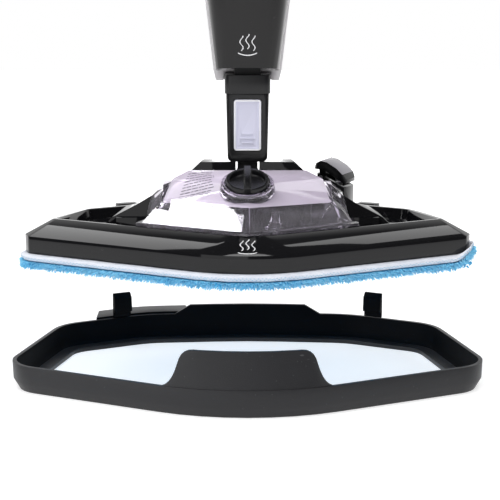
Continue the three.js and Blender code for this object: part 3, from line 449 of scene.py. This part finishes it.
finish = {
    "glossBlack": plastic("glossBlack", (0.005, 0.005, 0.006), 0.05, (500, 0.0), 0.03, 0.1),
    "unitBlack": plastic("unitBlack", (0.006, 0.0055, 0.006), 0.1, (500, 0.0), 0.04, 0.06),
    "neckBlack": plastic("neckBlack", (0.011, 0.011, 0.012), 0.26, (900, 0.05), 0.05, 0.15),
    "satinBlack": plastic("satinBlack", (0.014, 0.014, 0.016), 0.42, (1500, 0.3), 0.1, 0.35, 0.14),
    "innerBlack": plastic("innerBlack", (0.016, 0.016, 0.018), 0.55, (900, 0.1)),
    "capBlack": plastic("capBlack", (0.006, 0.006, 0.007), 0.22, (900, 0.05), 0.06, 0.1),
    "buttonGrey": plastic("buttonGrey", (0.66, 0.66, 0.8), 0.42, (1100, 0.05), 0.06, 0.0),
    "rimWhite": plastic("rimWhite", (0.86, 0.86, 0.9), 0.3, (1100, 0.03), 0.06, 0.0),
    "printWhite": plastic("printWhite", (0.82, 0.82, 0.84), 0.5, (1100, 0.03), 0.06, 0.0),
    "printGrey": plastic("printGrey", (0.13, 0.12, 0.15), 0.6, (1100, 0.03), 0.06, 0.0),
    "smokeGrey": plastic("smokeGrey", (0.27, 0.26, 0.29), 0.1, (500, 0.0), 0.05, 0.1, 0.3, 0.5),
    # Painted shade: near black and barely glossy, for the glider's inner wall and clips, which sit in shade.
    "paintedShadeBlack": plastic("paintedShadeBlack", (0.0025, 0.003, 0.004), 0.5, (900, 0.1), 0.05, 0.1, 0.1, 0.05),
    "clear": clearPlastic("clear", (0.93, 0.9, 0.97), 0.02, 0.03),
    "tankRoof": clearPlastic("tankRoof", (0.78, 0.7, 0.84), 0.06, 0.55),
    "skirtClear": clearPlastic("skirtClear", (0.97, 0.95, 0.97), 0.1, 0.72),
    "smokeLens": plastic("smokeLens", (0.02, 0.03, 0.05), 0.08),
    "rubber": plastic("rubber", (0.018, 0.018, 0.02), 0.7, (700, 0.1)),
    "steel": metal("steel", (0.55, 0.55, 0.57), 0.28),
    "boilerSteel": metal("boilerSteel", (0.5, 0.5, 0.52), 0.42),
    "pole": metal("pole", (0.62, 0.62, 0.64), 0.3),
    "tape": cloth("tape", (0.6, 0.6, 0.62), (0.5, 0.5, 0.52), 900, 0.6),
    "padWhite": cloth("padWhite", (0.84, 0.86, 0.92), (0.62, 0.66, 0.76), 620, 0.5),
    "pileBlue": cloth("pileBlue", (0.1, 0.5, 0.8), (0.04, 0.36, 0.68), 500, 0.5, 0.4),
    "pileTips": cloth("pileTips", (0.36, 0.74, 0.93), (0.06, 0.5, 0.82), 500, 0.4, 0.4),
    "stitchBlue": cloth("stitchBlue", (0.25, 0.5, 0.68), (0.35, 0.55, 0.72), 900, 0.3),
}
slotFinish = {
    "gloss_black": "glossBlack",
    "satin_black": "satinBlack",
    "inner_black": "innerBlack",
    "button_grey": "buttonGrey",
    "smoke_grey": "smokeGrey",
    "clear": "clear",
    "smoke_lens": "smokeLens",
    "pad_white": "padWhite",
    "pile_blue": "pileBlue",
    "tape": "tape",
    "rubber": "rubber",
    "steel": "steel",
    "boiler_steel": "boilerSteel",
    "pole": "pole",
}
for nodeName, packed in nodes.items():
    packed.data.materials.clear()
    packed.data.materials.append(finish[slotFinish[slotOf[nodeName]]])
print("materials made")

# part: (finish, edge radius, steps round the edge, edges sharper than this are rounded)
hardPieces = {
    "head_housing": ("glossBlack", 0.0007, 2, 30),
    "glider_frame": ("satinBlack", 0.0006, 2, 30),
    # The glider's clips take the painted-shade black.
    "glider_clip_left": ("paintedShadeBlack", 0.0006, 2, 30),
    "glider_clip_right": ("paintedShadeBlack", 0.0006, 2, 30),
    "neck_front_shell": ("neckBlack", 0.0006, 2, 40),
    "neck_rear_shell": ("neckBlack", 0.0006, 2, 40),
    "neck_collar": ("neckBlack", 0.0006, 2, 40),
    "tilt_knuckle": ("satinBlack", 0.0005, 2, 40),
    "release_button": ("buttonGrey", 0.0004, 2, 35),
    "unit_front_cover": ("unitBlack", 0.0008, 2, 40),
    "unit_rear_cover": ("unitBlack", 0.0008, 2, 40),
    "unit_tank": ("skirtClear", 0.0006, 2, 40),
    "pedal_plate": ("smokeGrey", 0.0008, 3, 30),
    "steam_dial": ("buttonGrey", 0.0007, 2, 40),
    "lower_cord_hook": ("satinBlack", 0.0008, 2, 35),
    "upper_cord_hook": ("satinBlack", 0.0008, 2, 35),
    "steam_trigger": ("buttonGrey", 0.0012, 3, 35),
    "pole_collar": ("satinBlack", 0.0008, 2, 40),
    "filler_cap": ("capBlack", 0.0005, 2, 35),
    "filler_collar": ("clear", 0.0005, 2, 35),
    "tank_base": ("clear", 0.0004, 2, 35),
    "grip_left": ("satinBlack", 0.0015, 3, 30),
    "grip_right": ("satinBlack", 0.0015, 3, 30),
    "outlet_valve": ("clear", 0.0003, 2, 40),
    "air_valve": ("clear", 0.0003, 2, 40),
    "cord_inlet": ("rubber", 0.0006, 2, 40),
}
shells = {}
for nodeName, (finishName, radius, segments, angle) in hardPieces.items():
    shell = shellFrom(nodeName, nodeName + "_shell")
    roundEdges(shell, radius, segments, angle)
    shells[nodeName] = finishPiece(shell, [finish[finishName]], bodyOf[nodeName], slotOf[nodeName], nodeName)
print("hard pieces rounded:", len(shells))



# A second finish on the faces that a test picks.
def paintFaces(shell, finishName, test):
    shell.data.materials.append(finish[finishName])
    for face in shell.data.polygons:
        if test(face):
            face.material_index = len(shell.data.materials) - 1


innerWall = {"lowest": 0.004, "steepest": 0.75, "depthWeight": 1.5, "turnedIn": -0.01}


# Painted shade: the inside of the glider's wall is painted near black and barely glossy, standing in for the
# shade inside the ring; the sides of the pedal are almost black as well.
def facesInwards(face):
    turned = face.normal.x * face.center.x + face.normal.y * face.center.y * innerWall["depthWeight"]
    upright = abs(face.normal.z) < innerWall["steepest"]
    return face.center.z > innerWall["lowest"] and upright and turned < innerWall["turnedIn"]


# Painted shade on the inner faces of the glider's wall.
paintFaces(shells["glider_frame"], "paintedShadeBlack", facesInwards)
paintFaces(shells["pedal_plate"], "capBlack", lambda face: face.normal.z < 0.55)

clearTank = {
    "edge": 0.0006,
    "sharper": 18,
    "smoother": 24,
    "roofTilt": 0.6,
    "roofLean": 0.35,
    "roofLowest": 0.1315,
}


# The tank's walls stay clear; the panel on top is cloudier.
def makeTankShell():
    shell = shellFrom("tank_shell", "tank_shell_shell")
    roundEdges(shell, clearTank["edge"], 2, clearTank["sharper"], clearTank["smoother"])
    finishPiece(shell, [finish["clear"], finish["tankRoof"]], "head_tank", "clear", "tank_shell")
    for face in shell.data.polygons:
        flat = abs(face.normal.z) > clearTank["roofTilt"] and abs(face.normal.x) < clearTank["roofLean"]
        if flat and face.center.z > clearTank["roofLowest"]:
            face.material_index = 1
    return shell


shells["tank_shell"] = makeTankShell()


# Lets a light fall on the named shells and on nothing else.
def lightOnly(lamp, *names):
    receivers = bpy.data.collections.new(lamp.name + "Receivers")
    for name in names:
        receivers.objects.link(shells[name])
    lamp.light_linking.receiver_collection = receivers


lightOnly(lamps["tankBox"], "tank_shell")
lightOnly(lamps["gliderBox"], "glider_frame")
print("clear tank made")

steamMark = {
    "lines": 3,
    "spacing": 0.0042,
    "height": 0.0105,
    "middleHigher": 0.0012,
    "sway": 0.0011,
    "waves": 1.25,
    "width": 0.0007,
    "barLength": 0.0135,
    "barDrop": 0.0016,
    "barDip": 0.0016,
    "ink": 0.00012,
    "unitAbove": 0.0165,
    "unitTilt": 87,
    "headBehind": 0.0045,
    "headTilt": 33,
    "headSize": 0.92,
}


# Three wavy lines rising from a short bar, printed on a surface.
def printSteamMark(name, centre, tilt, surface, body, size=1.0):
    deselectAll()
    strips = []
    half = (steamMark["lines"] - 1) / 2
    for i in range(steamMark["lines"]):
        bpy.ops.mesh.primitive_grid_add(x_subdivisions=1, y_subdivisions=28, size=1, location=(0, 0, 0))
        strip = bpy.context.active_object
        strips.append(strip)
        for vertex in strip.data.vertices:
            along = vertex.co.y + 0.5
            sway = steamMark["sway"] * math.sin(2 * math.pi * steamMark["waves"] * along)
            across = vertex.co.x * steamMark["width"] + (i - half) * steamMark["spacing"]
            rise = along * steamMark["height"] + (steamMark["middleHigher"] if i == half else 0)
            vertex.co = ((across + sway) * size, rise * size, 0)
    bpy.ops.mesh.primitive_grid_add(x_subdivisions=18, y_subdivisions=1, size=1, location=(0, 0, 0))
    bar = bpy.context.active_object
    strips.append(bar)
    for vertex in bar.data.vertices:
        dip = steamMark["barDip"] * (1 - (2 * vertex.co.x) ** 2)
        height = vertex.co.y * steamMark["width"] - steamMark["barDrop"] - dip
        vertex.co = (vertex.co.x * steamMark["barLength"] * size, height * size, 0)
    deselectAll()
    for strip in strips:
        strip.select_set(True)
    bpy.context.view_layer.objects.active = strips[0]
    bpy.ops.object.join()
    mark = bpy.context.active_object
    mark.name = name
    mark.rotation_euler = (math.radians(tilt), 0, 0)
    mark.location = centre
    applyPlace(mark)
    wrap = mark.modifiers.new("layOn", "SHRINKWRAP")
    wrap.target = surface
    wrap.wrap_method = "NEAREST_SURFACEPOINT"
    wrap.wrap_mode = "ABOVE_SURFACE"
    wrap.offset = steamMark["ink"]
    applyModifiers(mark)
    return finishPiece(mark, [finish["printWhite"]], body, "button_grey")


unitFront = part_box("unit_front_cover")
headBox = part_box("head_housing")
unitMarkPlace = (0, -0.0076, unitFront[0].z + steamMark["unitAbove"])
headMarkPlace = (0, headBox[0].y + steamMark["headBehind"], 0.1115)
printSteamMark(
    "unitSteamMark",
    unitMarkPlace,
    steamMark["unitTilt"],
    shells["unit_front_cover"],
    "steam_unit",
)
printSteamMark(
    "headSteamMark",
    headMarkPlace,
    steamMark["headTilt"],
    shells["head_housing"],
    "floor_head",
    steamMark["headSize"],
)

notes = {
    "rows": 10,
    "back": -0.0195,
    "step": 0.00175,
    "left": -0.0415,
    "spread": 0.0008,
    "right": -0.0235,
    "line": 0.00055,
    "ragged": 0.004,
    "shortest": 0.0012,
    "longer": 0.0035,
    "gap": 0.0006,
    "above": 0.16,
    "ink": 0.0001,
}


# Ruled dashes on the tank's top left, where instructions would be.
def printNotes():
    pick = random.Random(7)
    corners = []
    faces = []
    for row in range(notes["rows"]):
        y = notes["back"] - row * notes["step"]
        x = notes["left"] - row * notes["spread"]
        end = notes["right"] - pick.random() * notes["ragged"]
        while x < end:
            length = min(notes["shortest"] + pick.random() * notes["longer"], end - x + 0.0004)
            for i in range(3):
                along = x + length * i / 2
                corners.append((along, y, notes["above"]))
                corners.append((along, y + notes["line"], notes["above"]))
            first = len(corners) - 6
            faces.append((first, first + 2, first + 3, first + 1))
            faces.append((first + 2, first + 4, first + 5, first + 3))
            x += length + notes["gap"]
    mesh = bpy.data.meshes.new("tankNotes")
    mesh.from_pydata(corners, [], faces)
    piece = bpy.data.objects.new("tankNotes", mesh)
    bpy.context.scene.collection.objects.link(piece)
    wrap = piece.modifiers.new("layOn", "SHRINKWRAP")
    wrap.target = shells["tank_shell"]
    wrap.wrap_method = "PROJECT"
    wrap.use_project_z = True
    wrap.use_negative_direction = True
    wrap.use_positive_direction = False
    wrap.offset = notes["ink"]
    applyModifiers(piece)
    return finishPiece(piece, [finish["printGrey"]], "head_tank", "clear")


printNotes()
print("prints laid on")

buttonRim = {
    "width": 0.0012,
    "rise": 0.00045,
    "corner": 0.0019,
    "edge": 0.00022,
    "sideFlange": 0.0013,
    "endFlange": 0.0011,
    "set": 0.0004,
    "clear": 0.0001,
}


# The bright rim round the release button.
def makeButtonRim():
    low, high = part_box("release_button")
    face = low.y + buttonRim["set"]
    bottom, top = low.z + buttonRim["endFlange"], high.z - buttonRim["endFlange"]
    deselectAll()
    bpy.ops.mesh.primitive_plane_add(size=1, location=(0, 0, 0), rotation=(math.radians(90), 0, 0))
    rim = bpy.context.active_object
    rim.name = "buttonRim"
    applyPlace(rim)
    rim.scale = (2 * (high.x - buttonRim["sideFlange"]), 1, top - bottom)
    rim.location = (0, face + buttonRim["clear"], (bottom + top) / 2)
    applyPlace(rim)
    editAll(rim)
    bpy.ops.mesh.bevel(offset=buttonRim["corner"], segments=5, affect="VERTICES")
    bpy.ops.mesh.select_all(action="SELECT")
    bpy.ops.mesh.inset(thickness=buttonRim["width"], depth=0)
    bpy.ops.mesh.delete(type="FACE")
    bpy.ops.mesh.select_all(action="SELECT")
    bpy.ops.mesh.extrude_region_move(TRANSFORM_OT_translate={"value": (0, -buttonRim["rise"], 0)})
    bpy.ops.mesh.select_all(action="SELECT")
    bpy.ops.mesh.normals_make_consistent(inside=False)
    backToObject()
    roundEdges(rim, buttonRim["edge"], 2, 35)
    return finishPiece(rim, [finish["rimWhite"]], "button", "button_grey")


makeButtonRim()

pad = {
    "edge": 0.0019,
    "voxel": 0.003,
    "margin": 0.010,
    "pressure": 4,
    "steps": 20,
    "cap": 0.0013,
    "tip": 0.1598,
    "curl": 0.0085,
    "curlReach": 0.016,
    "curlDepth": 0.0036,
    "curlFade": 0.0022,
    "rippleScales": (90, 260),
    "rippleOut": 0.0006,
    "rippleUp": 0.00035,
}


# The corners of a flat part, seen from above, counterclockwise.
def outlineOf(node):
    piece = shellFrom(node, "outlineGuide")
    under = min(piece.data.polygons, key=lambda face: (round(face.normal.z, 3), -face.area))
    points = [piece.data.vertices[i].co.to_2d() for i in under.vertices]
    bpy.data.objects.remove(piece)
    area = sum(a.x * b.y - b.x * a.y for a, b in zip(points, points[1:] + points[:1]))
    return points if area > 0 else points[::-1]


# How deep inside the outline each point lies, and the outward direction of the nearest side.
def depthsInside(points, outline):
    spots = np.array([(p[0], p[1]) for p in points])
    starts = np.array([tuple(p) for p in outline])
    ends = np.roll(starts, -1, axis=0)
    best = np.full(len(spots), 1e9)
    outwards = np.zeros((len(spots), 2))
    for a, b in zip(starts, ends):
        side = b - a
        share = np.clip(((spots - a) @ side) / (side @ side), 0, 1)
        gap = spots - (a + share[:, None] * side)
        distance = np.hypot(gap[:, 0], gap[:, 1])
        outward = np.array((side[1], -side[0])) / np.hypot(*side)
        sign = np.where((spots - a) @ outward > 0, -1.0, 1.0)
        nearer = distance < np.abs(best) - 1e-9
        best = np.where(nearer, distance * sign, best)
        outwards[nearer] = outward
    return best, outwards


padOutline = outlineOf("pad_backing")


# The right tip of the pad lifts along the head's side.
def tipLift(x, depth):
    reach = max(0, min(1, (x - (pad["tip"] - pad["curlReach"])) / pad["curlReach"]))
    edge = max(0, min(1, (pad["curlDepth"] - depth) / pad["curlFade"]))
    return pad["curl"] * reach * reach * (3 - 2 * reach) * edge


def softSlab(node, name, edge, voxel):
    piece = shellFrom(node, name)
    bevel = piece.modifiers.new("softEdge", "BEVEL")
    bevel.width = edge
    bevel.segments = 3
    bevel.limit_method = "ANGLE"
    bevel.angle_limit = math.radians(50)
    remesh = piece.modifiers.new("remesh", "REMESH")
    remesh.mode = "VOXEL"
    remesh.voxel_size = voxel
    applyModifiers(piece)
    return piece


# A short run of cloth under pressure, with the middle of the pad held flat.
def swellEdge(piece, depths):
    held = piece.vertex_groups.new(name="held")
    for vertex, depth in zip(piece.data.vertices, depths):
        held.add([vertex.index], max(0, min(1, depth / pad["margin"])), "REPLACE")
    swell = piece.modifiers.new("swell", "CLOTH")
    swell.settings.use_pressure = True
    swell.settings.uniform_pressure_force = pad["pressure"]
    swell.settings.vertex_group_mass = "held"
    swell.settings.pin_stiffness = 1
    swell.settings.effector_weights.gravity = 0
    for step in range(1, pad["steps"] + 1):
        bpy.context.scene.frame_set(step)
    applyModifiers(piece)
    bpy.context.scene.frame_set(1)
    piece.vertex_groups.clear()


def makePadBacking():
    piece = softSlab("pad_backing", "padBacking", pad["edge"], pad["voxel"])
    depths, outwards = depthsInside([vertex.co for vertex in piece.data.vertices], padOutline)
    before = [vertex.co.copy() for vertex in piece.data.vertices]
    swellEdge(piece, depths)
    for vertex, start, depth, outward in zip(piece.data.vertices, before, depths, outwards):
        move = vertex.co - start
        if move.length > pad["cap"]:
            move = move.normalized() * pad["cap"]
        place = start + move
        edge = max(0, 1 - max(0, depth) / pad["margin"])
        ripple = noise(start * pad["rippleScales"][0]) + 0.5 * noise(start * pad["rippleScales"][1])
        place.x += outward[0] * ripple * pad["rippleOut"] * edge
        place.y += outward[1] * ripple * pad["rippleOut"] * edge
        place.z += ripple * pad["rippleUp"] * edge
        if depth > pad["curlDepth"]:
            place.z = min(place.z, start.z + 0.0001)
        place.z += tipLift(start.x, depth)
        vertex.co = place
    finer = piece.modifiers.new("finer", "SUBSURF")
    finer.levels = 1
    finer.render_levels = 1
    applyModifiers(piece)
    makeActive(piece)
    bpy.ops.object.shade_smooth()
    finishPiece(piece, [finish["padWhite"]], "floor_head", "pad_white", "pad_backing")
    return piece


padBacking = makePadBacking()
print("pad backing made:", len(padBacking.data.polygons))


# Points spaced evenly along the outline, with their outward and forward directions.
def walkOutline(outline, spacing, inset=0.0):
    found = []
    left = 0.0
    for a, b in zip(outline, outline[1:] + outline[:1]):
        length = (b - a).length
        if length < 1e-6:
            continue
        forward = (b - a) / length
        outward = Vector((forward.y, -forward.x))
        while left < length:
            point = a + forward * left - outward * inset
            found.append((point.to_3d(), outward.to_3d(), forward.to_3d()))
            left += spacing
        left -= length
    return found


# Many copies of a small shape as one mesh. A place is a position, three directions and a size.
def copiesOf(name, points, faces, places):
    corners = []
    sides = []
    for place, (along, across, rise), (wide, deep, tall) in places:
        first = len(corners)
        for x, y, z in points:
            corners.append(place + along * (x * wide) + across * (y * deep) + rise * (z * tall))
        sides += [tuple(first + i for i in face) for face in faces]
    mesh = bpy.data.meshes.new(name)
    mesh.from_pydata(corners, [], sides)
    piece = bpy.data.objects.new(name, mesh)
    bpy.context.scene.collection.objects.link(piece)
    return piece


stitches = {
    "rows": (0.0927, 0.0941),
    "spacing": 0.0026,
    "length": 0.0011,
    "width": 0.00045,
    "rise": 0.0003,
    "sunk": 0.00005,
    "searchFrom": 0.002,
}
stitchPoints = [
    (-1, -1, 0), (1, -1, 0), (1, 1, 0), (-1, 1, 0),
    (-0.6, -0.5, 1), (0.6, -0.5, 1), (0.6, 0.5, 1), (-0.6, 0.5, 1),
]
stitchFaces = [(0, 3, 2, 1), (4, 5, 6, 7), (0, 1, 5, 4), (1, 2, 6, 5), (2, 3, 7, 6), (3, 0, 4, 7)]


def makeStitches():
    skin = BVHTree.FromObject(padBacking, bpy.context.evaluated_depsgraph_get())
    size = (stitches["length"] / 2, stitches["width"] / 2, stitches["rise"])
    places = []
    for row, height in enumerate(stitches["rows"]):
        for point, outward, forward in walkOutline(padOutline, stitches["spacing"]):
            along = stitches["spacing"] * 0.5 * (row % 2)
            start = point + forward * along + outward * stitches["searchFrom"]
            start.z = height + tipLift(point.x, 0)
            spot, normal, face, gap = skin.find_nearest(start)
            across = normal.cross(forward).normalized()
            places.append((spot - normal * stitches["sunk"], (forward, across, normal), size))
    piece = copiesOf("padStitches", stitchPoints, stitchFaces, places)
    return finishPiece(piece, [finish["stitchBlue"]], "floor_head", "pile_blue")


makeStitches()

pile = {
    "edge": 0.0012,
    "voxel": 0.0026,
    "rippleScale": 140,
    "rippleOut": 0.0009,
    "rippleDepth": 0.02,
    "rimSpacing": 0.00062,
    "rimRows": 5,
    "rimInset": 0.0016,
    "rimBottom": 0.0884,
    "rimStep": 0.00068,
    "rowWider": 0.12,
    "droop": 0.95,
    "rowDroop": 0.2,
    "droopSpread": 0.35,
    "sway": 0.55,
    "clumpScale": 160,
    "clump": 0.45,
    "length": 0.0036,
    "thickness": 0.00062,
    "underSpacing": 0.0036,
    "underSpread": 0.4,
    "underLean": 0.8,
    "underDrop": -0.55,
    "underLength": 0.0026,
    "underThickness": 0.0016,
    "underInset": 0.002,
}
tuftPoints = [
    (0.5, 0, 0), (-0.25, 0.43, 0), (-0.25, -0.43, 0),
    (0.55, 0.1, 0.5), (-0.25, 0.5, 0.55), (-0.25, -0.38, 0.5),
    (0.12, 0.3, 1.0),
]
tuftFaces = [(0, 2, 1), (0, 1, 4, 3), (1, 2, 5, 4), (2, 0, 3, 5), (3, 4, 6), (4, 5, 6), (5, 3, 6)]


def tuftAt(pick, place, direction, length, thickness):
    side = direction.orthogonal().normalized()
    side.rotate(Quaternion(direction, pick.random() * 2 * math.pi))
    return (place, (side, direction.cross(side), direction), (thickness, thickness, length))


def pileSlab():
    slab = softSlab("pad_pile", "padPile", pile["edge"], pile["voxel"])
    depths, outwards = depthsInside([vertex.co for vertex in slab.data.vertices], padOutline)
    for vertex, depth, outward in zip(slab.data.vertices, depths, outwards):
        edge = max(0, 1 - max(0, depth) / pile["rippleDepth"])
        ripple = noise(vertex.co * pile["rippleScale"])
        vertex.co.z += tipLift(vertex.co.x, depth)
        vertex.co += Vector((outward[0], outward[1], 0)) * ripple * pile["rippleOut"] * edge
    makeActive(slab)
    bpy.ops.object.shade_smooth()
    finishPiece(slab, [finish["pileBlue"]], "floor_head", "pile_blue", "pad_pile")


# Cut fibres that stand off the rim of the pad, drooping more in the lower rows.
def pileRim(pick):
    places = []
    for row in range(pile["rimRows"]):
        spacing = pile["rimSpacing"] * (1 + pile["rowWider"] * row)
        bottom = pile["rimBottom"] + row * pile["rimStep"]
        for point, outward, forward in walkOutline(padOutline, spacing, pile["rimInset"]):
            place = point + forward * pick.uniform(-0.0005, 0.0005)
            place.z = bottom + pick.uniform(-0.0004, 0.0004) + tipLift(point.x, 0)
            spread = pick.uniform(-pile["droopSpread"], pile["droopSpread"])
            droop = pile["droop"] - row * pile["rowDroop"] + spread
            sway = forward * pick.uniform(-pile["sway"], pile["sway"])
            direction = (outward + sway - Vector((0, 0, droop))).normalized()
            spot = Vector((point.x * pile["clumpScale"], point.y * pile["clumpScale"], row * 0.4))
            length = pile["length"] * (1 + pile["clump"] * noise(spot)) * pick.uniform(0.7, 1.15)
            places.append(tuftAt(pick, place, direction, length, pile["thickness"] * pick.uniform(0.7, 1.3)))
    rim = copiesOf("padPileRim", tuftPoints, tuftFaces, places)
    finishPiece(rim, [finish["pileTips"]], "floor_head", "pile_blue")
    return len(places)


# Short thick loops over the whole underside.
def pileUnder(pick):
    low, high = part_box("pad_pile")
    step = pile["underSpacing"]
    spread = pile["underSpread"]
    lean = pile["underLean"]
    spots = []
    for i in range(int((high.x - low.x) / step) + 1):
        for j in range(int((high.y - low.y) / step) + 1):
            x = low.x + (i + pick.uniform(-spread, spread)) * step
            y = low.y + (j + pick.uniform(-spread, spread)) * step
            spots.append((x, y))
    depths, outwards = depthsInside(spots, padOutline)
    places = []
    for (x, y), depth in zip(spots, depths):
        if depth > pile["underInset"]:
            way = Vector((pick.uniform(-lean, lean), pick.uniform(-lean, lean), pile["underDrop"]))
            place = Vector((x, y, low.z + 0.0004))
            places.append(tuftAt(pick, place, way.normalized(), pile["underLength"], pile["underThickness"]))
    under = copiesOf("padPileUnder", tuftPoints, tuftFaces, places)
    finishPiece(under, [finish["pileBlue"]], "floor_head", "pile_blue")
    return len(places)


pileSlab()
fibrePick = random.Random(21)
rimCount = pileRim(fibrePick)
underCount = pileUnder(fibrePick)
print("pile fibres:", rimCount, underCount)
